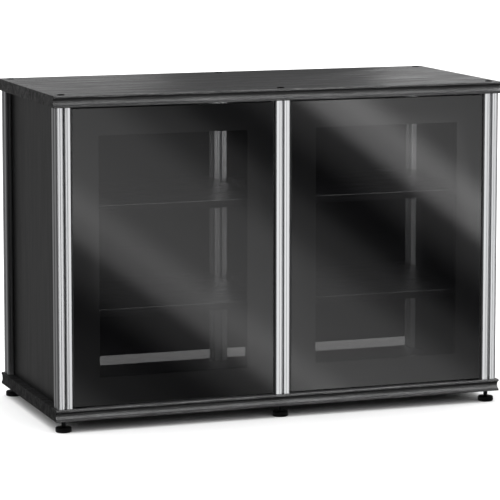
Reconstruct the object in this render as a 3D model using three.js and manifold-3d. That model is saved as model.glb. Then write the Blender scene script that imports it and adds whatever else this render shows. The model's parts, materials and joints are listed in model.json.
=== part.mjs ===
// Media cabinet. Two boards with coved front and rear edges are held apart by six slotted
// aluminium posts. Thin panels close the sides and the back, each of the two bays has two
// shelves, and each bay is closed by a smoked glass door that turns on pins.
//
// Millimetres, +Z up, +X to the right, doors facing -Y.
// The origin is on the floor under the middle of the cabinet.

import * as THREE from "three";
import { mergeVertices } from "three/addons/utils/BufferGeometryUtils.js";
import Module from "manifold-3d";

const wasm = await Module();
wasm.setup();

// ---- Overall sizes ----
const width = 1130; // boards, end to end
const depth = 505; // boards, front lip to rear lip
const height = 792; // floor to the top face of the top board
const floorGap = 28; // floor to the underside of the bottom board
const boardThick = 28;

// ---- Clearances ----
const seat = 0.3; // glue line or air gap between pieces that touch
const running = 0.05; // radial clearance of a pin or screw that turns or slides
const holeSlack = 0.3; // radial clearance of a hole round a fixed piece
const round = 24; // sides of a turned piece
const overcut = 1; // how far a cutting solid runs past the face it opens
const endRoom = 2; // spare depth behind a piece in a blind hole
const weld = 1e-4; // vertices closer than this are one

// ---- Edge of the boards: lip, cove, lip ----
const lipHeight = 4.5;
const lipChamfer = 0.7;
const coveDepth = 9;
const coveSteps = 10;

// ---- Posts: square T-slot extrusion ----
const post = 37; // width across the faces
const endOverhang = 5.5; // board end beyond the outer posts
const lipSetback = 7; // post faces behind the board lips
const postCorner = 4;
const cornerSteps = 3;
const slotMouth = 5.5;
const slotLip = 2.2; // wall beside the mouth
const slotWidth = 12; // inside, behind the mouth
const slotDepth = 8.5; // from the face to the floor of the slot
const postBore = 11;
const reedWidth = 1.2; // shallow groove down the middle of each land
const reedDepth = 0.5;

// ---- Panels and shelves ----
const sidePanel = 5;
const tongue = 7; // how far a side panel enters the slots
const backPanel = 5.5;
const backInset = 10; // back panel edge from the outer face of the outer post
const backJoint = 2; // between the two back panels
const cableGap = 24.5; // bottom board to the lower edge of the back panels
const shelfThick = 18;
const shelfSideGap = 1;
const shelfFrontGap = 2;
const shelfBackGap = 1.5;
const shelfTops = { lower: 225, upper: 471.5 }; // above the bottom board

// ---- Shelf rails ----
const railThick = 3;
const railBearing = 30; // how far a rail reaches into the bay
const railStart = 1.75; // from the slot mouth to the edge of the rail
const lugDrop = 22;
const lugThick = 2;
const lugEdge = 1.5; // lug edge in from the post face
const screwHead = 4; // radius
const screwRise = 2;
const screwSides = 12;

// ---- Doors ----
const doorRecess = 4; // glass behind the post faces
const doorSideGap = 3.5;
const doorEndGap = 3.5;
const glassThick = 5;
const frameThick = 16;
const frameWidth = 65;

// ---- Door pivots ----
const pivotInset = 18; // pin axis from the outer edge of the door
const pivotWall = 1.3; // frame left in front of the bush
const pinRadius = 2.5;
const pinReach = 11; // pin inside the door
const bushRadius = 4;
const bushLength = 14;
const bushFlange = 6; // radius
const bushFlangeThick = 1.2;
const plateLength = 28;
const plateWidth = 20;
const plateThick = 1.2;

// ---- Push latches ----
const latchInset = 30; // from the free edge of the door
const latchSize = 16;
const latchLength = 60;
const latchSetback = 4.2; // latch body behind the door frame
const plungerRadius = 4;
const plungerLength = 40;
const plungerBevel = 1;
const strikeWidth = 18;
const strikeHeight = 14;
const strikeThick = 1.2;

// ---- Feet and cap bolts ----
const footRadius = 19;
const footThick = 12;
const footBevel = 1.8;
const stemRadius = 5;
const stemInPost = 20;
const socketRadius = 7;
const socketFlange = 12; // radius
const socketFlangeThick = 2;
const capRadius = 8.75;
const capThick = 2;
const capSink = 0.2; // the cap's face lies this far below the face of the board
const capBevel = 0.4;
const boltRadius = 4;
const boltInPost = 24;

// ---- Levels and positions that follow from the sizes ----
const innerBottom = floorGap + boardThick; // top face of the bottom board
const innerTop = height - boardThick; // underside of the top board
const innerHeight = innerTop - innerBottom;
const postX = width / 2 - endOverhang - post / 2;
const postY = depth / 2 - lipSetback - post / 2;
const postFace = postY + post / 2; // outer face of front and rear posts
const postInside = postY - post / 2; // face towards the middle of the cabinet
const bayWidth = postX - post;
const bayX = postX / 2;
const doorWidth = bayWidth - 2 * doorSideGap;
const doorHeight = innerHeight - 2 * doorEndGap;
const doorZ = innerBottom + innerHeight / 2;
const glassY = -postFace + doorRecess + glassThick / 2;
const frameFrontY = glassY + glassThick / 2 + seat;
const frameBackY = frameFrontY + frameThick;
const bushHole = bushRadius + holeSlack;
const pivotX = bayX + doorWidth / 2 - pivotInset;
const pivotY = frameFrontY + pivotWall + bushHole;
const latchX = bayX - doorWidth / 2 + latchInset;
const latchZ = innerTop - seat - latchSize / 2;
const strikeY = frameBackY + seat + strikeThick / 2;

// ---- Materials ----
const finishes = {
  laminate: { color: 0x1b1b1d, roughness: 0.42, metalness: 0 },
  panel: { color: 0x202023, roughness: 0.55, metalness: 0 },
  post_aluminium: { color: 0xd2d4d6, roughness: 0.34, metalness: 1 },
  smoked_glass: { color: 0x15171a, roughness: 0.06, metalness: 0, opacity: 0.45 },
  door_frame: { color: 0x0e0e10, roughness: 0.5, metalness: 0 },
  hardware: { color: 0x2a2b2d, roughness: 0.45, metalness: 0.8 },
  pivot_steel: { color: 0xa9abad, roughness: 0.3, metalness: 1 },
  foot_plastic: { color: 0x111113, roughness: 0.5, metalness: 0 },
};

const cabinet = new THREE.Group();
cabinet.name = "media_cabinet";

function addMesh(name, geometry, finish, x = 0, y = 0, z = 0) {
  const look = finishes[finish];
  const material = new THREE.MeshStandardMaterial({
    ...look,
    transparent: look.opacity !== undefined,
    name: finish,
  });
  const mesh = new THREE.Mesh(geometry, material);
  mesh.name = name;
  mesh.position.set(x, y, z);
  cabinet.add(mesh);
  return mesh;
}

// ---- Joining and cutting ----
function toSolid(geometry) {
  const bare = geometry.clone();
  bare.deleteAttribute("normal");
  bare.deleteAttribute("uv");
  const merged = mergeVertices(bare, weld);
  return new wasm.Manifold(new wasm.Mesh({
    numProp: 3,
    vertProperties: new Float32Array(merged.attributes.position.array),
    triVerts: new Uint32Array(merged.index.array),
  }));
}

function toGeometry(solid) {
  const mesh = solid.getMesh();
  const geometry = new THREE.BufferGeometry();
  geometry.setAttribute("position", new THREE.BufferAttribute(mesh.vertProperties, 3));
  geometry.setIndex(new THREE.BufferAttribute(mesh.triVerts, 1));
  geometry.computeVertexNormals();
  return geometry;
}

const join = (...shapes) =>
  toGeometry(shapes.map(toSolid).reduce((whole, piece) => whole.add(piece)));
const cut = (shape, ...holes) =>
  toGeometry(holes.map(toSolid).reduce((rest, hole) => rest.subtract(hole), toSolid(shape)));

// ---- Basic shapes ----
function block(x, y, z, cx = 0, cy = 0, cz = 0) {
  return new THREE.BoxGeometry(x, y, z).translate(cx, cy, cz);
}

// An upright cylinder from z0 to z1.
function rod(radius, z0, z1, x = 0, y = 0, sides = round) {
  return new THREE.CylinderGeometry(radius, radius, z1 - z0, sides)
    .rotateX(Math.PI / 2)
    .translate(x, y, (z0 + z1) / 2);
}

// A turned piece about Z from a profile of [radius, z] pairs.
function turned(profile, sides = round) {
  const points = profile.map(([r, z]) => new THREE.Vector2(r, z));
  return new THREE.LatheGeometry(points, sides).rotateX(Math.PI / 2);
}

function shapeOf(points) {
  return new THREE.Shape(points.map(([x, y]) => new THREE.Vector2(x, y)));
}

const straight = (shape, length) =>
  new THREE.ExtrudeGeometry(shape, { depth: length, bevelEnabled: false, steps: 1 });

// ---- Boards ----
// Half of the board's outline, down the front edge: chamfered lip, cove, chamfered lip.
function covedEdge() {
  const coveHeight = boardThick - 2 * lipHeight;
  const half = coveHeight / 2;
  const radius = (half * half + coveDepth * coveDepth) / (2 * coveDepth);
  const span = Math.asin(half / radius);
  const edge = [[-depth / 2 + lipChamfer, boardThick], [-depth / 2, boardThick - lipChamfer]];
  for (let i = 0; i <= coveSteps; i += 1) {
    const angle = span * (1 - (2 * i) / coveSteps);
    edge.push([
      -depth / 2 + radius * Math.cos(angle) - (radius - coveDepth),
      boardThick / 2 + radius * Math.sin(angle),
    ]);
  }
  edge.push([-depth / 2, lipChamfer], [-depth / 2 + lipChamfer, 0]);
  return edge;
}

const postSpots = [
  ["front_left", -postX, -postY],
  ["front_centre", 0, -postY],
  ["front_right", postX, -postY],
  ["rear_left", -postX, postY],
  ["rear_centre", 0, postY],
  ["rear_right", postX, postY],
];

function holesAtPosts(radius, from = -overcut) {
  return postSpots.map(([, x, y]) => rod(radius, from, boardThick + overcut, x, y));
}

function board(holes) {
  const front = covedEdge();
  const rear = front.map(([y, z]) => [-y, z]).reverse();
  const plank = straight(shapeOf([...front, ...rear]), width)
    .rotateY(Math.PI / 2)
    .rotateX(Math.PI / 2)
    .translate(-width / 2, 0, 0);
  return cut(plank, ...holes);
}

const capBed = boardThick - capSink - capThick - seat;
const boltHoles = [
  ...holesAtPosts(boltRadius + holeSlack),
  ...holesAtPosts(capRadius + holeSlack, capBed),
];
addMesh("bottom_board", board(holesAtPosts(socketRadius + holeSlack)), "laminate", 0, 0, floorGap);
addMesh("top_board", board(boltHoles), "laminate", 0, 0, innerTop);

// ---- Posts ----
// One face of the extrusion seen from its end, then the corner that follows it.
function postSide() {
  const half = post / 2;
  const mouth = slotMouth / 2;
  const inner = slotWidth / 2;
  const land = (mouth + half - postCorner) / 2;
  const reed = (x) => [
    [x - reedWidth / 2, half],
    [x, half - reedDepth],
    [x + reedWidth / 2, half],
  ];
  const side = [
    ...reed(-land),
    [-mouth, half],
    [-mouth, half - slotLip],
    [-inner, half - slotLip],
    [-inner, half - slotDepth],
    [inner, half - slotDepth],
    [inner, half - slotLip],
    [mouth, half - slotLip],
    [mouth, half],
    ...reed(land),
  ];
  for (let i = 0; i <= cornerSteps; i += 1) {
    const angle = (Math.PI / 2) * (1 - i / cornerSteps);
    side.push([
      half - postCorner + postCorner * Math.cos(angle),
      half - postCorner + postCorner * Math.sin(angle),
    ]);
  }
  return side;
}

function postGeometry() {
  const outline = [];
  for (let quarter = 0; quarter < 4; quarter += 1) {
    const turn = (-Math.PI / 2) * quarter;
    for (const [x, y] of postSide()) {
      outline.push([
        x * Math.cos(turn) - y * Math.sin(turn),
        x * Math.sin(turn) + y * Math.cos(turn),
      ]);
    }
  }
  const length = innerHeight - 2 * seat;
  const bore = rod(postBore / 2, -overcut, length + overcut);
  return cut(straight(shapeOf(outline), length), bore);
}

for (const [spot, x, y] of postSpots) {
  addMesh(`post_${spot}`, postGeometry(), "post_aluminium", x, y, innerBottom + seat);
}

// ---- Side panels, held in the slots of the outer posts ----
const panelHeight = innerHeight - 2 * seat;
const sides = [["left", -1], ["right", 1]];
for (const [side, sign] of sides) {
  const panel = block(sidePanel, 2 * (postInside + tongue), panelHeight);
  addMesh(`side_panel_${side}`, panel, "panel", sign * postX, 0, doorZ);
}

// ---- Back panels, screwed to the rear faces of the rear posts ----
const backInnerX = backJoint / 2;
const backOuterX = postX + post / 2 - backInset;
const backHeight = innerHeight - cableGap - seat;
const backY = postFace + seat + backPanel / 2;
for (const [side, sign] of sides) {
  addMesh(
    `back_panel_${side}`,
    block(backOuterX - backInnerX, backPanel, backHeight),
    "panel",
    sign * (backOuterX + backInnerX) / 2,
    backY,
    innerBottom + cableGap + backHeight / 2,
  );
}

// ---- Shelves and their rails ----
const shelfFront = -postInside + shelfFrontGap;
const shelfBack = postFace - shelfBackGap;

// A rail runs from a front post to the rear post behind it. It carries the end of a shelf, and
// a lug at each end is screwed to the land of the post. side is +1 when the bay lies towards +X.
function railGeometry(side) {
  const near = side * (slotMouth / 2 + railStart);
  const far = side * (post / 2 + railBearing);
  const lugFar = side * (post / 2 - lugEdge);
  const reach = postInside - seat;
  const mid = (near + lugFar) / 2;
  const plate = block(Math.abs(far - near), 2 * reach, railThick, (near + far) / 2, 0, 0);
  const lugs = [-1, 1].flatMap((end) => {
    const lugY = end * (reach - lugThick / 2);
    const lugZ = railThick / 2 - lugDrop / 2;
    const head = new THREE.CylinderGeometry(
      screwHead,
      screwHead,
      screwRise + lugThick / 2,
      screwSides,
    ).translate(mid, end * (reach - lugThick - screwRise / 2 + lugThick / 4), -lugDrop / 2);
    return [block(Math.abs(lugFar - near), lugThick, lugDrop, mid, lugY, lugZ), head];
  });
  return join(plate, ...lugs);
}

for (const [bay, baySign] of sides) {
  for (const [level, rise] of Object.entries(shelfTops)) {
    const top = innerBottom + rise;
    const shelf = block(bayWidth - 2 * shelfSideGap, shelfBack - shelfFront, shelfThick);
    addMesh(
      `shelf_${bay}_${level}`,
      shelf,
      "laminate",
      baySign * bayX,
      (shelfFront + shelfBack) / 2,
      top - shelfThick / 2,
    );
    const railZ = top - shelfThick - seat - railThick / 2;
    const rails = [["outer", baySign * postX, -baySign], ["inner", 0, baySign]];
    for (const [end, x, towards] of rails) {
      addMesh(`rail_${bay}_${level}_${end}`, railGeometry(towards), "hardware", x, 0, railZ);
    }
  }
}

// ---- Doors ----
// sign is -1 for the left door, whose pivots are at its left edge.
function frameGeometry(sign) {
  const outer = block(doorWidth, frameThick, doorHeight);
  const window = block(
    doorWidth - 2 * frameWidth,
    frameThick + 2 * overcut,
    doorHeight - 2 * frameWidth,
  );
  const holeX = sign * (doorWidth / 2 - pivotInset);
  const holeY = pivotY - (frameFrontY + frameThick / 2);
  const deep = bushLength + endRoom;
  const edge = doorHeight / 2;
  return cut(
    outer,
    window,
    rod(bushHole, -edge - overcut, -edge + deep, holeX, holeY),
    rod(bushHole, edge - deep, edge + overcut, holeX, holeY),
  );
}

// The bush stands on its flange: the flange is outside the door, the sleeve inside.
function bushGeometry() {
  const bore = pinRadius + running;
  return turned([
    [bore, 0],
    [bushFlange, 0],
    [bushFlange, bushFlangeThick],
    [bushRadius, bushFlangeThick],
    [bushRadius, bushFlangeThick + seat + bushLength],
    [bore, bushFlangeThick + seat + bushLength],
    [bore, 0],
  ]);
}

// A plate on the board with the pin that the door turns on.
function pivotGeometry() {
  const plate = block(plateLength, plateWidth, plateThick, 0, 0, plateThick / 2);
  return join(plate, rod(pinRadius, plateThick / 2, doorEndGap - seat + pinReach));
}

for (const [side, sign] of sides) {
  const doorX = sign * bayX;
  addMesh(
    `door_glass_${side}`,
    block(doorWidth, glassThick, doorHeight),
    "smoked_glass",
    doorX,
    glassY,
    doorZ,
  );
  const frameY = frameFrontY + frameThick / 2;
  addMesh(`door_frame_${side}`, frameGeometry(sign), "door_frame", doorX, frameY, doorZ);

  const ends = [
    ["bottom", innerBottom + seat, innerBottom + doorEndGap - seat - bushFlangeThick, 0],
    ["top", innerTop - seat, innerTop - doorEndGap + seat + bushFlangeThick, Math.PI],
  ];
  for (const [end, plateZ, bushZ, flip] of ends) {
    const x = sign * pivotX;
    const plate = addMesh(`pivot_${end}_${side}`, pivotGeometry(), "pivot_steel", x, pivotY, plateZ);
    const bush = addMesh(`bush_${end}_${side}`, bushGeometry(), "foot_plastic", x, pivotY, bushZ);
    plate.rotation.x = flip;
    bush.rotation.x = flip;
  }
}

// ---- Push latches ----
const strikeBack = strikeY + strikeThick / 2;
const latchFront = frameBackY + latchSetback;
for (const [side, sign] of sides) {
  const x = sign * latchX;
  const tip = strikeBack + seat;
  const boreDepth = tip + plungerLength + endRoom - latchFront;
  const along = (geometry) => geometry.rotateX(-Math.PI / 2);
  const body = cut(
    block(latchSize, latchLength, latchSize, 0, latchLength / 2, 0),
    along(rod(plungerRadius + running, -overcut, boreDepth)),
  );
  addMesh(`latch_body_${side}`, body, "foot_plastic", x, latchFront, latchZ);
  const plunger = along(turned([
    [0, 0],
    [plungerRadius - plungerBevel, 0],
    [plungerRadius, plungerBevel],
    [plungerRadius, plungerLength],
    [0, plungerLength],
  ]));
  addMesh(`latch_plunger_${side}`, plunger, "foot_plastic", x, tip, latchZ);
  addMesh(
    `strike_plate_${side}`,
    block(strikeWidth, strikeThick, strikeHeight),
    "pivot_steel",
    x,
    strikeY,
    innerTop - doorEndGap - strikeHeight / 2,
  );
}

// ---- Levelling feet, their sockets, and the cap bolts ----
const stemTop = innerBottom + stemInPost;
function footGeometry() {
  return turned([
    [0, 0],
    [footRadius - footBevel, 0],
    [footRadius, footBevel],
    [footRadius, footThick - footBevel],
    [footRadius - footBevel, footThick],
    [stemRadius, footThick],
    [stemRadius, stemTop],
    [0, stemTop],
  ]);
}

function socketGeometry() {
  const bore = stemRadius + running;
  const top = boardThick - seat;
  return turned([
    [bore, -socketFlangeThick - seat],
    [socketFlange, -socketFlangeThick - seat],
    [socketFlange, -seat],
    [socketRadius, -seat],
    [socketRadius, top],
    [bore, top],
    [bore, -socketFlangeThick - seat],
  ]);
}

function capGeometry() {
  const shank = boardThick + boltInPost;
  return turned([
    [0, -shank],
    [boltRadius, -shank],
    [boltRadius, -capSink - capThick],
    [capRadius, -capSink - capThick],
    [capRadius, -capSink - capBevel],
    [capRadius - capBevel, -capSink],
    [0, -capSink],
  ]);
}

for (const [spot, x, y] of postSpots) {
  addMesh(`foot_${spot}`, footGeometry(), "foot_plastic", x, y, 0);
  addMesh(`foot_socket_${spot}`, socketGeometry(), "hardware", x, y, floorGap);
  addMesh(`cap_bolt_${spot}`, capGeometry(), "foot_plastic", x, y, height);
}

export default cabinet;
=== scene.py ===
# %% [markdown]
# # A media cabinet with smoked glass doors
#
# The cabinet is two coved boards held apart by six aluminium posts. Thin panels close the sides
# and the back, two shelves divide each bay, and a door of smoked glass on a black frame closes
# each bay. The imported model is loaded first, as a fixed frame. Nothing in it is moved: pieces with
# finer edges are built around it, and each rides on the body that carries the real piece.

import json
import math

import bmesh
import bpy
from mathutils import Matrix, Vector

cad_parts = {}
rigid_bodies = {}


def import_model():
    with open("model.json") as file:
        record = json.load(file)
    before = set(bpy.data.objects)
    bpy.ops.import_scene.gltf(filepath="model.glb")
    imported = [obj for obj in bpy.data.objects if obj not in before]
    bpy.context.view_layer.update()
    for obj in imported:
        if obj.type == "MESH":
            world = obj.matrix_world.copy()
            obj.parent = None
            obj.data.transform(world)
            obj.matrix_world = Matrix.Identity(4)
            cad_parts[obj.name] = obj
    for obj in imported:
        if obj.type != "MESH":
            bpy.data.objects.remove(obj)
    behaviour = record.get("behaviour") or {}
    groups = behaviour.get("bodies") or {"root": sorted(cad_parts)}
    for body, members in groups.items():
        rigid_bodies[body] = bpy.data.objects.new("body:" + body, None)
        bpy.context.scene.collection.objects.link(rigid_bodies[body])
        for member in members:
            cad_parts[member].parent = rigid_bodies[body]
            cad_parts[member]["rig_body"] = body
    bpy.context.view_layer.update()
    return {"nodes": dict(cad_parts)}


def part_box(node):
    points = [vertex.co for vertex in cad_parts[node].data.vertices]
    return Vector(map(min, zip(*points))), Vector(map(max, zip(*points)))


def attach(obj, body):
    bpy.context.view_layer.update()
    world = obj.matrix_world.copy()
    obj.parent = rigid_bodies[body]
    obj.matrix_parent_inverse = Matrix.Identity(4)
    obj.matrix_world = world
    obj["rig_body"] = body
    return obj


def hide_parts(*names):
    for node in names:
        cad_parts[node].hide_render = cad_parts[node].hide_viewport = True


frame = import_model()
nodes = frame["nodes"]

# %% [markdown]
# ## Units, colours and nodes
#
# Everything here is in metres, while a maker thinks in millimetres, so `MM` turns one into the
# other. A colour is given as an sRGB hex value, but shaders work in linear light, so one
# function converts it. One more function adds a shader node, gives it its settings and links its
# inputs. That keeps each material short enough to read in one go.

# %% Units, colours and the node helper
MM = 0.001


def linear(hex_colour):
    """An sRGB hex colour as linear red, green, blue and alpha."""
    shares = [int(hex_colour[i : i + 2], 16) / 255 for i in (1, 3, 5)]
    return [s / 12.92 if s <= 0.04045 else ((s + 0.055) / 1.055) ** 2.4 for s in shares] + [1.0]


def add(tree, kind, inputs=None, ramp=None, **settings):
    """Adds a node. inputs gives each socket a value, or another node's socket to link."""
    node = tree.nodes.new(kind)
    for name, value in settings.items():
        setattr(node, name, value)
    for name, value in (inputs or {}).items():
        if isinstance(value, bpy.types.NodeSocket):
            tree.links.new(value, node.inputs[name])
        else:
            node.inputs[name].default_value = value
    if ramp:
        stops = node.color_ramp.elements
        stops[0].position, stops[1].position = ramp[0][0], ramp[-1][0]
        for place, _ in ramp[1:-1]:
            stops.new(place)
        for stop, (_, colour) in zip(stops, ramp):
            stop.color = colour if isinstance(colour, list) else (colour, colour, colour, 1)
    return node


def new_finish(name, **constants):
    """A material with one Principled shader, whose constant inputs are set on its own sockets."""
    material = bpy.data.materials.new(name)
    material.use_nodes = True
    shader = material.node_tree.nodes["Principled BSDF"]
    for socket, value in constants.items():
        shader.inputs[socket.replace("_", " ")].default_value = value
    return material, material.node_tree, shader


def put_in_scene(name, data):
    """An object for a mesh, lamp or camera, linked to the scene."""
    made = bpy.data.objects.new(name, data)
    bpy.context.scene.collection.objects.link(made)
    return made


# %% [markdown]
# ## Camera
#
# The cabinet is looked at from its left, a little above its top, with a long lens from over six
# metres away, so that its upright edges stay nearly parallel. A small downward shift lets the
# camera tilt less, which keeps those edges straighter still.

# %% Camera
CAMERA_PLACE = Vector((-2.2789, -6.3702, 1.3873))
CAMERA_TURN = math.radians(19.718)  # away from straight ahead, towards the right
CAMERA_TILT = math.radians(6.992)  # downwards
LENS = 199.5  # millimetres, on a 36 mm sensor
SHIFT = -0.15

camera = put_in_scene("camera", bpy.data.cameras.new("camera"))
camera.location = CAMERA_PLACE
camera.rotation_euler = (math.pi / 2 - CAMERA_TILT, 0, -CAMERA_TURN)
camera.data.sensor_width = 36
camera.data.lens = LENS
camera.data.shift_y = SHIFT
bpy.context.scene.camera = camera
bpy.context.scene.view_settings.view_transform = "Standard"
print("camera is", round(CAMERA_PLACE.length, 2), "m from the cabinet's foot")

# %% [markdown]
# ## Floor
#
# Furniture is often shown on a white sweep of paper. A large, matt, nearly white square does the
# same here. It is kept out of mirrored light, as if black cloth lay around the cabinet, so that
# the low edges of the black boards and doors stay black.

# %% Floor
FLOOR_SIZE = 60.0
floor_mesh = bmesh.new()
bmesh.ops.create_grid(floor_mesh, x_segments=1, y_segments=1, size=FLOOR_SIZE / 2)
floor = put_in_scene("floor", bpy.data.meshes.new("floor"))
floor_mesh.to_mesh(floor.data)
floor_mesh.free()
floor_paint, _, _ = new_finish(
    "matt_white_floor", Base_Color=linear("#fbfbfb"), Roughness=1.0, Specular_IOR_Level=0.0
)
floor.data.materials.append(floor_paint)
floor.visible_glossy = floor.visible_shadow = False
print("floor:", FLOOR_SIZE, "m square")

# %% [markdown]
# ## Room light
#
# A dark cabinet shows its form only through what it mirrors. The room is therefore darker in
# front of the cabinet than behind it: its doors face a dark room, in which softboxes can draw
# clear shapes, and the faces that look sideways mirror a soft grey. Light fades out below the
# horizon. Only where the camera looks straight at it is the room plain white.

# %% Room light
FRONT_LEVEL, SIDE_LEVEL, BACK_LEVEL = 0.03, 0.12, 0.16

world = bpy.data.worlds.new("studio")
bpy.context.scene.world = world
world.use_nodes = True
sky = world.node_tree
sky.nodes.clear()
direction = add(sky, "ShaderNodeTexCoord").outputs["Generated"]
axes = add(sky, "ShaderNodeSeparateXYZ", {"Vector": direction}).outputs
to_back = add(
    sky, "ShaderNodeMapRange", {"Value": axes["Y"], "From Min": -1.0, "From Max": 1.0}
).outputs["Result"]
room = add(
    sky,
    "ShaderNodeValToRGB",
    {"Fac": to_back},
    ramp=[(0.0, FRONT_LEVEL), (0.4, SIDE_LEVEL), (0.9, BACK_LEVEL)],
).outputs["Color"]
not_below = add(
    sky,
    "ShaderNodeMapRange",
    {"Value": axes["Z"], "From Min": -0.6, "From Max": -0.2},
    interpolation_type="SMOOTHSTEP",
).outputs["Result"]
seen = add(sky, "ShaderNodeLightPath").outputs["Is Camera Ray"]
shaded = add(
    sky, "ShaderNodeBackground", {"Color": room, "Strength": not_below}
).outputs["Background"]
white = add(sky, "ShaderNodeBackground", {"Color": linear("#ffffff")}).outputs["Background"]
either = add(sky, "ShaderNodeMixShader", {"Fac": seen})
sky.links.new(shaded, either.inputs[1])
sky.links.new(white, either.inputs[2])
add(sky, "ShaderNodeOutputWorld", {"Surface": either.outputs["Shader"]})
print("room light, front to back:", FRONT_LEVEL, SIDE_LEVEL, BACK_LEVEL)

# %% [markdown]
# ## Light from the ceiling
#
# Two very wide suns stand in for a ceiling of soft light. The first lights everything faintly.
# The second lights only the floor, and only the bottom board and the feet cast its shadow. So the
# shadow lies close under the cabinet and fades softly to white, as it does under a ceiling that is
# bright from wall to wall. Light linking, explained in the next step, does that.

# %% Ceiling light and floor light
overhead = put_in_scene("overhead_light", bpy.data.lights.new("overhead_light", "SUN"))
overhead.data.angle = math.radians(60)
overhead.data.energy = 1.2

floor_light = put_in_scene("floor_light", bpy.data.lights.new("floor_light", "SUN"))
floor_light.data.angle = math.radians(150)
floor_light.data.energy = 3.7
floor_light.light_linking.receiver_collection = bpy.data.collections.new("floor_only")
floor_light.light_linking.receiver_collection.objects.link(floor)
near_floor = bpy.data.collections.new("near_the_floor")
floor_light.light_linking.blocker_collection = near_floor
print("suns:", overhead.name, floor_light.name)

# %% [markdown]
# ## Light that only some pieces see
#
# A studio lights each surface of such an object by itself, with cards and flags. Blender's light
# linking does the same: a lamp gets a collection of the only pieces that it lights. The
# collections are made here and filled as the pieces are made. A lamp can also carry a gradient
# across it on a slant, as a sheet of diffusion film with strips of tape gives. The lamp's own
# surface coordinates, Parametric, place the gradient.

# %% A lamp for a collection of pieces
AHEAD = Vector((0, 1, 0))  # the way that a lamp in front of the cabinet faces


def linked_lamp(name, centre, aim, width, height, brightness, stops=None, slant=0.0):
    """An area lamp for its own collection of pieces. stops run across it at the slant."""
    lamp = put_in_scene(name, bpy.data.lights.new(name, "AREA"))
    lamp.location = centre
    lamp.rotation_euler = (Vector(aim) - Vector(centre)).to_track_quat("-Z", "Y").to_euler()
    lamp.data.shape = "RECTANGLE"
    lamp.data.size, lamp.data.size_y = width, height
    lamp.data.energy = brightness * math.pi * width * height
    lamp.visible_camera = False
    lit = bpy.data.collections.new(name + "_lights")
    lamp.light_linking.receiver_collection = lit
    if stops:
        lamp.data.use_nodes = True
        tree = lamp.data.node_tree
        emission = tree.nodes["Emission"]
        place = add(tree, "ShaderNodeNewGeometry").outputs["Parametric"]
        centred = add(
            tree, "ShaderNodeVectorMath", {0: place, 1: (-0.5, -0.5, 0)}, operation="ADD"
        ).outputs[0]
        lean = (width * math.cos(slant), height * math.sin(slant), 0)
        across = add(tree, "ShaderNodeVectorMath", {0: centred, 1: lean}, operation="DOT_PRODUCT")
        low, high = stops[0][0], stops[-1][0]
        share = add(
            tree,
            "ShaderNodeMapRange",
            {"Value": across.outputs["Value"], "From Min": low, "From Max": high},
        ).outputs["Result"]
        ramp = [((at - low) / (high - low), level) for at, level in stops]
        colours = add(tree, "ShaderNodeValToRGB", {"Fac": share}, ramp=ramp)
        colours.color_ramp.interpolation = "EASE"
        tree.links.new(colours.outputs["Color"], emission.inputs["Color"])
    print(name, width, "by", height, "m")
    return lamp, lit


# %% [markdown]
# ## The softbox that the doors mirror
#
# The doors are nearly mirrors, so what they show is the softbox in front of them. Its light lies
# in two soft bands on a slant, each with a bright crest, a sharp fall on one side and a long fade
# on the other. Each stop below is a distance in metres across the lamp, and a level. The black
# frames behind the panes get a lamp of their own with the same bands, a little stronger and never
# quite dark, because smoked glass hides most of what is behind it.

# %% The doors' softboxes
DOOR_BOX_AT = Vector((0.282, -1.0, 0.289))
BAND_SLANT = math.radians(52.5)
LOWEST_ON_FRAMES = 0.12

strips = [(-0.68, 0.17), (-0.56, 0.03)]
for crest, peak in ((-0.24, 0.63), (0.42, 0.97)):
    strips += [
        (crest - 0.21, 0.0),
        (crest - 0.10, 0.11),
        (crest - 0.04, 0.8 * peak),
        (crest, peak),
        (crest + 0.08, 0.4),
        (crest + 0.21, 0.35),
        (crest + 0.33, 0.13),
        (crest + 0.42, 0.01),
    ]
strips.sort()
_, panes_lit = linked_lamp(
    "glass_softbox", DOOR_BOX_AT, DOOR_BOX_AT + AHEAD,
    width=2.6, height=1.8, brightness=2.9, stops=strips, slant=BAND_SLANT,
)
_, frames_lit = linked_lamp(
    "frame_softbox", DOOR_BOX_AT, DOOR_BOX_AT + AHEAD,
    width=2.6, height=1.8, brightness=5.0, slant=BAND_SLANT,
    stops=[(at, max(level, LOWEST_ON_FRAMES)) for at, level in strips],
)

# %% [markdown]
# ## Softboxes for the boards and posts
#
# The coves of the boards look up and forwards, so their light comes from above the front: one
# softbox for both boards, and a lower one for the bottom board alone. The posts face a softbox
# straight ahead that is only as wide as the front lands need. Slots, reeds and rounded corners
# mirror past its edges and draw themselves as dark lines. Faces that look left mirror a faint
# softbox behind the cabinet. A strip above and behind the top board is dark in its middle, so
# the top is darker there than at its ends. The last softbox is for the back.

# %% Lamps for the boards and posts
_, boards_lit = linked_lamp(
    "front_softbox", (0.5, -1.3, 2.2), aim=(0.0, -0.25, 0.6),
    width=3.2, height=1.6, brightness=10.0,
)
_, sill_lit = linked_lamp(
    "sill_softbox", (0.5, -1.6, 1.3), aim=(0.0, -0.25, 0.0),
    width=3.2, height=1.0, brightness=7.0,
)
POST_BOX_AT = Vector((0.4, -1.3, 0.4))
_, posts_lit = linked_lamp(
    "post_softbox", POST_BOX_AT, POST_BOX_AT + AHEAD, width=1.7, height=1.8, brightness=1.1
)
REAR_BOX_AT = Vector((-0.9, 1.3, 0.4))
_, rear_lit = linked_lamp(
    "rear_softbox", REAR_BOX_AT, REAR_BOX_AT - AHEAD, width=1.6, height=1.8, brightness=0.12
)
TOP_BOX_AT = Vector((0.25, 0.6, 1.12))
_, top_lit = linked_lamp(
    "top_strip_light", TOP_BOX_AT, TOP_BOX_AT - AHEAD, width=3.0, height=0.6, brightness=0.95,
    stops=[(-1.5, 1.0), (-0.38, 1.0), (-0.30, 0.0), (0.22, 0.0), (0.36, 0.68), (1.5, 0.68)],
)
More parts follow.
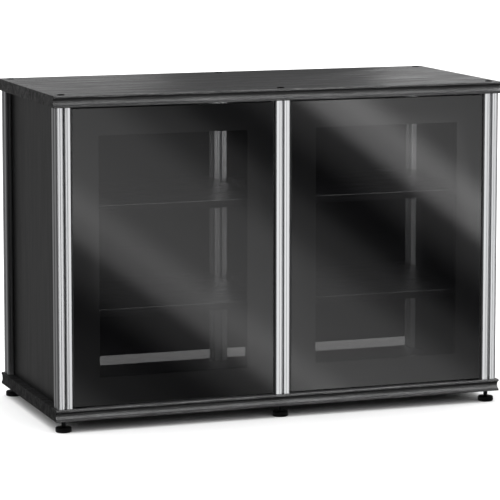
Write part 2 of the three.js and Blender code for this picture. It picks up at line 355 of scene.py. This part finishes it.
_, back_lit = linked_lamp(
    "back_softbox", (1.8, 2.4, 1.2), aim=(0.2, 0.0, 0.4), width=2.6, height=2.0, brightness=1.6
)

# %% [markdown]
# ## Lamps for what stands behind the glass
#
# Smoked glass swallows more than nine tenths of what is behind it, so the two rear posts that show
# through it need strong light of their own: one lamp ahead for their front lands and one behind
# for their side faces. Only the shelves and these two posts block that light. Another lamp, above
# the front, catches the shelves' front edges.

# %% Lamps for the bays
BAY_BOX_AT = Vector((0.8, -1.6, 0.9))
bay_light, bays_lit = linked_lamp(
    "bay_light", BAY_BOX_AT, BAY_BOX_AT + AHEAD, width=3.0, height=0.8, brightness=10.0
)
BAY_SIDE_AT = Vector((-1.0, 1.3, 0.6))
bay_side_light, bay_sides_lit = linked_lamp(
    "bay_side_light", BAY_SIDE_AT, BAY_SIDE_AT - AHEAD, width=2.6, height=0.8, brightness=7.0
)
in_the_bays = bpy.data.collections.new("in_the_bays")
for lamp in (bay_light, bay_side_light):
    lamp.light_linking.blocker_collection = in_the_bays
_, shelves_lit = linked_lamp(
    "shelf_edge_light", (0.6, -1.5, 1.6), aim=(0.0, -0.2, 0.4),
    width=3.0, height=0.8, brightness=40.0,
)

# %% [markdown]
# ## Black wood-grain laminate
#
# The boards, shelves and panels are fibreboard faced with a black ash melamine laminate. Its
# paper is printed and pressed between steel plates that leave fine pores along the grain. A real
# pore is about 0.3 mm wide. That is too fine to show from here, so the grain is drawn in bands
# 15 mm wide and 240 mm long, with finer streaks inside them. Stretched noise makes them: long
# steps along the grain, short steps across. A second, slower noise bends them into loose waves,
# as ash has. Pores are duller than the faces between them, and that swing of gloss shows the
# grain more than its colour does.

# %% Black laminate
def black_laminate(name, grain, dark, pale, roughness=0.42, swing=0.16, relief=2.2 * MM):
    """Black ash laminate with its grain along one axis, 0 for X, 1 for Y or 2 for Z."""
    material, tree, shader = new_finish(name, Specular_IOR_Level=0.5)
    band, band_length, bend = 15 * MM, 240 * MM, 8 * MM
    steps = [1 / band] * 3
    steps[grain] = 1 / band_length
    place = add(tree, "ShaderNodeTexCoord").outputs["Object"]
    wander = add(tree, "ShaderNodeTexNoise", {"Vector": place, "Scale": 9.0, "Detail": 2.0})
    shift = add(
        tree,
        "ShaderNodeVectorMath",
        {0: wander.outputs["Color"], "Scale": bend},
        operation="SCALE",
    )
    bent = add(tree, "ShaderNodeVectorMath", {0: place, 1: shift.outputs[0]}, operation="ADD")
    stretched = add(tree, "ShaderNodeMapping", {"Vector": bent.outputs[0], "Scale": steps})
    streaks = add(
        tree,
        "ShaderNodeTexNoise",
        {"Vector": stretched.outputs["Vector"], "Scale": 1.0, "Detail": 7.0, "Roughness": 0.72},
    ).outputs["Fac"]
    pores = add(tree, "ShaderNodeValToRGB", {"Fac": streaks}, ramp=[(0.36, 0.0), (0.66, 1.0)])
    shades = add(
        tree,
        "ShaderNodeValToRGB",
        {"Fac": pores.outputs["Color"]},
        ramp=[(0.0, linear(dark)), (1.0, linear(pale))],
    )
    softer, glossier = roughness + swing, roughness - swing
    gloss = add(
        tree,
        "ShaderNodeMapRange",
        {"Value": pores.outputs["Color"], "To Min": softer, "To Max": glossier},
    )
    dents = add(
        tree,
        "ShaderNodeBump",
        {"Height": pores.outputs["Color"], "Distance": relief, "Strength": 0.6},
    )
    tree.links.new(shades.outputs["Color"], shader.inputs["Base Color"])
    tree.links.new(gloss.outputs["Result"], shader.inputs["Roughness"])
    tree.links.new(dents.outputs["Normal"], shader.inputs["Normal"])
    print(name, "grain along", "XYZ"[grain])
    return material


board_laminate = black_laminate("black_ash_laminate_board", 0, "#070708", "#1a1a1b")
shelf_laminate = black_laminate(
    "black_ash_laminate_shelf", 0, "#070708", "#0e0e0f", roughness=0.26, swing=0.08, relief=0.6 * MM
)
side_laminate = black_laminate(
    "black_ash_laminate_side", 2, "#0d0d0e", "#121213", swing=0.03, relief=0.12 * MM
)
back_laminate = black_laminate(
    "black_ash_laminate_back", 0, "#060607", "#0c0c0d", relief=0.6 * MM
)

# %% [markdown]
# ## Anodised aluminium
#
# The posts are extruded aluminium, etched and clear anodised to a satin silver. The die leaves
# hair-fine lines along the whole length, and the oxide layer softens every reflection. So it is
# a metal of middling roughness, with stretched noise for the die lines in its roughness and
# relief. Real die lines are about 0.1 mm wide. They are drawn 0.9 mm wide here, so that they
# show. A metal keeps the shader's usual IOR.

# %% Anodised aluminium
def anodised_aluminium():
    """Satin, clear anodised extrusion with die lines along its height."""
    material, tree, shader = new_finish("anodised_aluminium", Metallic=1.0)
    place = add(tree, "ShaderNodeTexCoord").outputs["Object"]
    die_line, run = 0.9 * MM, 700 * MM
    stretched = add(
        tree, "ShaderNodeMapping", {"Vector": place, "Scale": (1 / die_line, 1 / die_line, 1 / run)}
    )
    lines = add(
        tree,
        "ShaderNodeTexNoise",
        {"Vector": stretched.outputs["Vector"], "Scale": 1.0, "Detail": 3.0, "Roughness": 0.7},
    ).outputs["Fac"]
    tint = add(
        tree,
        "ShaderNodeValToRGB",
        {"Fac": lines},
        ramp=[(0.3, linear("#d6d7d9")), (0.7, linear("#eaebec"))],
    )
    gloss = add(tree, "ShaderNodeMapRange", {"Value": lines, "To Min": 0.3, "To Max": 0.42})
    ridges = add(tree, "ShaderNodeBump", {"Height": lines, "Distance": 0.03 * MM, "Strength": 0.5})
    tree.links.new(tint.outputs["Color"], shader.inputs["Base Color"])
    tree.links.new(gloss.outputs["Result"], shader.inputs["Roughness"])
    tree.links.new(ridges.outputs["Normal"], shader.inputs["Normal"])
    print("die lines drawn", die_line / MM, "mm wide")
    return material


aluminium = anodised_aluminium()

# %% [markdown]
# ## Smoked glass
#
# The doors are float glass tinted grey in the melt, with polished edges. Real refraction in so
# thin a pane moves what is behind it by a hair, and costs many light bounces. A dark shader with
# an Alpha does nearly the same: each of the two faces covers three quarters of what is behind.
# The faintest wiping marks break up the gloss.

# %% Smoked glass
def smoked_glass():
    """Grey tinted float glass: dark, glossy and partly clear."""
    material, tree, shader = new_finish(
        "smoked_float_glass", Base_Color=linear("#050506"), IOR=1.52, Alpha=0.75
    )
    place = add(tree, "ShaderNodeTexCoord").outputs["Object"]
    wipe = 60 * MM
    marks = add(
        tree, "ShaderNodeTexNoise", {"Vector": place, "Scale": 1 / wipe, "Detail": 4.0}
    ).outputs["Fac"]
    gloss = add(tree, "ShaderNodeMapRange", {"Value": marks, "To Min": 0.03, "To Max": 0.09})
    tree.links.new(gloss.outputs["Result"], shader.inputs["Roughness"])
    print("wiping marks", wipe / MM, "mm across")
    return material


glass = smoked_glass()

# %% [markdown]
# ## Lacquer, powder coat, zinc and moulded plastic
#
# The rest is small or half hidden, but each finish still has its own surface. The frames' sprayed
# lacquer is polished, with a trace of spray texture. Powder coat melts into the soft dimples
# called orange peel. The hinge pins are blackened in a hot bath, which leaves the steel a dark
# metal. Zinc plate is a pale metal in faint patches. The feet and caps are moulded in a tool with
# a spark-eroded skin, which gives the plastic a fine, matt grain.

# %% Small finishes
def even_finish(name, dark, pale, rough, grain_size, relief, **constants):
    """A surface with one fine, even grain in its colour, gloss and relief."""
    material, tree, shader = new_finish(name, **constants)
    place = add(tree, "ShaderNodeTexCoord").outputs["Object"]
    grains = add(
        tree, "ShaderNodeTexNoise", {"Vector": place, "Scale": 1 / grain_size, "Detail": 3.0}
    ).outputs["Fac"]
    colour = add(
        tree,
        "ShaderNodeValToRGB",
        {"Fac": grains},
        ramp=[(0.35, linear(dark)), (0.65, linear(pale))],
    )
    swing = 0.06
    gloss = add(
        tree,
        "ShaderNodeMapRange",
        {"Value": grains, "To Min": rough - swing, "To Max": rough + swing},
    )
    peel = add(tree, "ShaderNodeBump", {"Height": grains, "Distance": relief, "Strength": 0.5})
    tree.links.new(colour.outputs["Color"], shader.inputs["Base Color"])
    tree.links.new(gloss.outputs["Result"], shader.inputs["Roughness"])
    tree.links.new(peel.outputs["Normal"], shader.inputs["Normal"])
    print(name, "grain", round(grain_size / MM, 1), "mm")
    return material


cap_plastic = even_finish(
    "matt_black_cap", "#040404", "#080808", 0.8, 0.8 * MM, 0.05 * MM, Specular_IOR_Level=0.0
)
lacquer = even_finish(
    "black_lacquer", "#030303", "#060606", 0.14, 3 * MM, 0.005 * MM, Specular_IOR_Level=1.0
)
powder_coat = even_finish("black_powder_coat", "#151516", "#1c1c1d", 0.5, 1.2 * MM, 0.08 * MM)
black_oxide = even_finish(
    "black_oxide_steel", "#1b1b1d", "#242426", 0.35, 2 * MM, 0.02 * MM, Metallic=1.0
)
zinc = even_finish("zinc_plated_steel", "#b4b6b9", "#cccdcf", 0.28, 6 * MM, 0.02 * MM, Metallic=1.0)
moulded = even_finish("moulded_black_plastic", "#0b0b0c", "#151516", 0.45, 0.8 * MM, 0.06 * MM)

# %% [markdown]
# ## Handing a piece to the frame
#
# Each finished piece rides on the body that carries the real one and gets its finish as a
# material, and its imported node is hidden. Its faces are shaded smooth, except across
# any edge over 20 degrees. A curved face is made of smaller steps than that and looks round,
# while a flat face keeps its flat shading up to its very edge.

# %% Hand a piece over
SMOOTH_BELOW = 20  # degrees


def hand_over(mesh, name, body, finish, stands_for, smooth=SMOOTH_BELOW):
    """Makes an object from a bmesh, gives it its finish and hands it to the frame."""
    made = put_in_scene(name, bpy.data.meshes.new(name))
    bmesh.ops.triangulate(mesh, faces=[f for f in mesh.faces if len(f.verts) > 4])
    mesh.to_mesh(made.data)
    mesh.free()
    made.data.materials.append(finish)
    made.data.polygons.foreach_set("use_smooth", [True] * len(made.data.polygons))
    made.data.set_sharp_from_angle(angle=math.radians(smooth))
    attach(made, body)
    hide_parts(stands_for)
    low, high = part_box(stands_for)
    size = [round(side / MM, 1) for side in high - low]
    print(stands_for, size, "mm,", len(made.data.polygons), "faces")
    return made


# %% [markdown]
# ## Pieces with eased edges
#
# No made edge is perfectly sharp: a sawn board is sanded, an extrusion has a small radius, and
# glass is ground. Those small rounds catch the light and say how thick a piece is. The packed
# meshes have sharp edges, so most pieces are finished here from a copy: the copy's loose
# triangles are merged, flat areas are joined into single faces, and every edge sharper than a
# given angle gets a small bevel.

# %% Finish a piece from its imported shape
def bevel(mesh, edges, ease, steps=2):
    bmesh.ops.bevel(
        mesh, geom=edges, offset=ease, offset_type="OFFSET", affect="EDGES",
        segments=steps, profile=0.5, material=-1, clamp_overlap=True,
    )


def eased(node, finish, ease=0.4 * MM, angle=30, wide=None, wide_ease=1.1 * MM):
    """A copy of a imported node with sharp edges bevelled. wide picks edges for a wider bevel."""
    mesh = bmesh.new()
    mesh.from_mesh(nodes[node].data)
    bmesh.ops.remove_doubles(mesh, verts=mesh.verts, dist=0.002 * MM)
    bmesh.ops.dissolve_limit(
        mesh, angle_limit=math.radians(1), verts=mesh.verts, edges=mesh.edges
    )
    if wide:
        bevel(mesh, [e for e in mesh.edges if wide(e)], wide_ease)
    sharp = [e for e in mesh.edges if e.calc_face_angle(0) > math.radians(angle)]
    bevel(mesh, sharp, ease)
    return hand_over(mesh, node + "_finished", nodes[node]["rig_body"], finish, node)


# %% [markdown]
# ## The two boards
#
# Each board is moulded along its front and rear edges: a lip, a cove and another lip. The laminate
# is wrapped round the moulding, so its corners are hardly rounded at all, and a bevel of 0.3 mm
# is enough. Each board has a lamp of its own as well, and the bottom one blocks the floor light.

# %% Boards
for which in ("top", "bottom"):
    board = eased(f"{which}_board", board_laminate, 0.3 * MM, angle=25)
    boards_lit.objects.link(board)
    if which == "top":
        top_lit.objects.link(board)
    else:
        sill_lit.objects.link(board)
        near_floor.objects.link(board)
    posts_lit.objects.link(board)

# %% [markdown]
# ## The six posts
#
# A post is one length of T-slot extrusion. The die gives its slot mouths a generous lead-in, so
# that nuts slide in easily. Those edges get a bevel of 1.1 mm, and all others only 0.2 mm. The
# edges beside a mouth are found by where they run: upright, on an outer face, and a slot's
# half-width from the middle.

# %% Posts
SPOTS = [f"{row}_{place}" for row in ("front", "rear") for place in ("left", "centre", "right")]
FACE_BAND = 0.1 * MM  # how close to the outer face counts as on it
MOUTH_NEAR, MOUTH_FAR = 2 * MM, 3.5 * MM  # a mouth's edges lie between these, from the middle
UPRIGHT_RISE = 100 * MM


def beside_mouth(edge, centre, half):
    """Whether an edge runs up beside one of a post's four slot mouths."""
    first, second = (vertex.co for vertex in edge.verts)
    middle = (first + second) / 2 - centre
    inner, outer = sorted((abs(middle.x), abs(middle.y)))
    upright = abs((first - second).z) > UPRIGHT_RISE
    return upright and outer > half - FACE_BAND and MOUTH_NEAR < inner < MOUTH_FAR


for spot in SPOTS:
    low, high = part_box(f"post_{spot}")
    centre, half = (low + high) / 2, (high.x - low.x) / 2
    post = eased(
        f"post_{spot}", aluminium, 0.2 * MM, angle=25,
        wide=lambda edge: beside_mouth(edge, centre, half),
    )
    rear_lit.objects.link(post)
    if spot.startswith("rear") or spot.endswith("right"):
        back_lit.objects.link(post)
    if spot in ("rear_centre", "rear_right"):
        bays_lit.objects.link(post)
        bay_sides_lit.objects.link(post)
        in_the_bays.objects.link(post)
    if spot.startswith("front"):
        posts_lit.objects.link(post)

# %% [markdown]
# ## Side and back panels
#
# The panels are thin fibreboard, cut to size and faced before assembly. The side panels sit in the
# slots of the outer posts and the back panels are screwed on from behind, so few of their edges
# show and a plain small bevel does. The left panel mirrors the faint softbox behind the cabinet,
# and the others are lit from the back.

# %% Panels
SIDES = ("left", "right")
for side in SIDES:
    panel = eased(f"side_panel_{side}", side_laminate)
    (rear_lit if side == "left" else back_lit).objects.link(panel)
    back_lit.objects.link(eased(f"back_panel_{side}", back_laminate))

# %% [markdown]
# ## Shelves and their rails
#
# A shelf's front edge is softly rounded, since hands and cables pass over it. Its bevel of 1.2 mm
# shows behind the glass as a thin light line. The rails that carry its ends are sheet steel with
# powder coat. Each runs from a front post to the rear one, and is screwed to both by its lugs.

# %% Shelves and rails
for side in SIDES:
    for level in ("lower", "upper"):
        shelf = eased(f"shelf_{side}_{level}", shelf_laminate, 1.2 * MM)
        shelves_lit.objects.link(shelf)
        in_the_bays.objects.link(shelf)
        for end in ("outer", "inner"):
            eased(f"rail_{side}_{level}_{end}", powder_coat, 0.2 * MM)

# %% [markdown]
# ## Doors
#
# A pane is cut, ground and polished, with an arris of 0.8 mm. The frame behind it is lacquered,
# and its edges are eased as much. The pane throws no shadow and is left out of mirrored light.
# Otherwise the light that gets in would pay for the tint twice, and the bays would go black.

# %% Doors
for side in SIDES:
    frames_lit.objects.link(eased(f"door_frame_{side}", lacquer, 0.8 * MM))
    pane = eased(f"door_glass_{side}", glass, 0.8 * MM)
    pane.visible_shadow = pane.visible_glossy = False
    panes_lit.objects.link(pane)

# %% [markdown]
# ## Pivots and latches
#
# Each door turns on two short steel pins, each on a plate on its board, in plastic bushes in the
# frame. A push latch bears on a zinc-plated strike on the door. These are stamped, turned or
# moulded, so their edges are eased by only a few tenths of a millimetre.

# %% Pivots and latches
for side in SIDES:
    for end in ("bottom", "top"):
        eased(f"pivot_{end}_{side}", black_oxide, 0.15 * MM)
        eased(f"bush_{end}_{side}", moulded, 0.2 * MM)
    eased(f"latch_body_{side}", moulded, 0.6 * MM)
    eased(f"latch_plunger_{side}", moulded, 0.3 * MM)
    eased(f"strike_plate_{side}", zinc, 0.2 * MM)

# %% [markdown]
# ## Levelling feet
#
# Under each post a moulded foot is held in a powder-coated socket and levels the cabinet. Its
# edges are eased by half a millimetre. The feet stand in the cabinet's shadow and help to cast it.

# %% Feet and sockets
for spot in SPOTS:
    near_floor.objects.link(eased(f"foot_{spot}", moulded, 0.5 * MM))
    eased(f"foot_socket_{spot}", powder_coat, 0.2 * MM)

# %% [markdown]
# ## Caps
#
# A moulded cap hides each bolt in the top board. Seen from so low, a flush disc would vanish, and
# real caps have a slight crown. Half of its outline, from the middle over the rim and back to the
# middle underneath, is drawn as a chain of edges and spun once round. The last step of the spin
# meets the first, so the two are merged, and the normals are then turned outwards.

# %% Caps
SKIRT, CROWN = 0.8 * MM, 2.0 * MM  # rim and middle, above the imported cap's flush face
OVER_THE_TOP = [(0, 1), (0.45, 1), (0.8, 0.9), (0.94, 0.7)]  # shares of radius and of crown
CAP_STEPS = 48
CAP_SMOOTH = 60  # degrees, since the crown's steps are coarse

for spot in SPOTS:
    node = f"cap_bolt_{spot}"
    low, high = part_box(node)
    centre, radius = (low + high) / 2, (high.x - low.x) / 2
    outline = [(radius * out, high.z + CROWN * up) for out, up in OVER_THE_TOP]
    outline += [(radius, high.z + SKIRT), (radius, low.z), (0, low.z)]
    cap = bmesh.new()
    chain = [cap.verts.new((centre.x + out, centre.y, z)) for out, z in outline]
    edges = [cap.edges.new(pair) for pair in zip(chain, chain[1:])]
    bmesh.ops.spin(
        cap, geom=chain + edges, cent=(centre.x, centre.y, 0), axis=(0, 0, 1),
        angle=2 * math.pi, steps=CAP_STEPS, use_merge=True,
    )
    bmesh.ops.remove_doubles(cap, verts=cap.verts, dist=0.01 * MM)
    bmesh.ops.recalc_face_normals(cap, faces=cap.faces)
    body = nodes[node]["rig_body"]
    hand_over(cap, f"cap_{spot}", body, cap_plastic, node, CAP_SMOOTH)
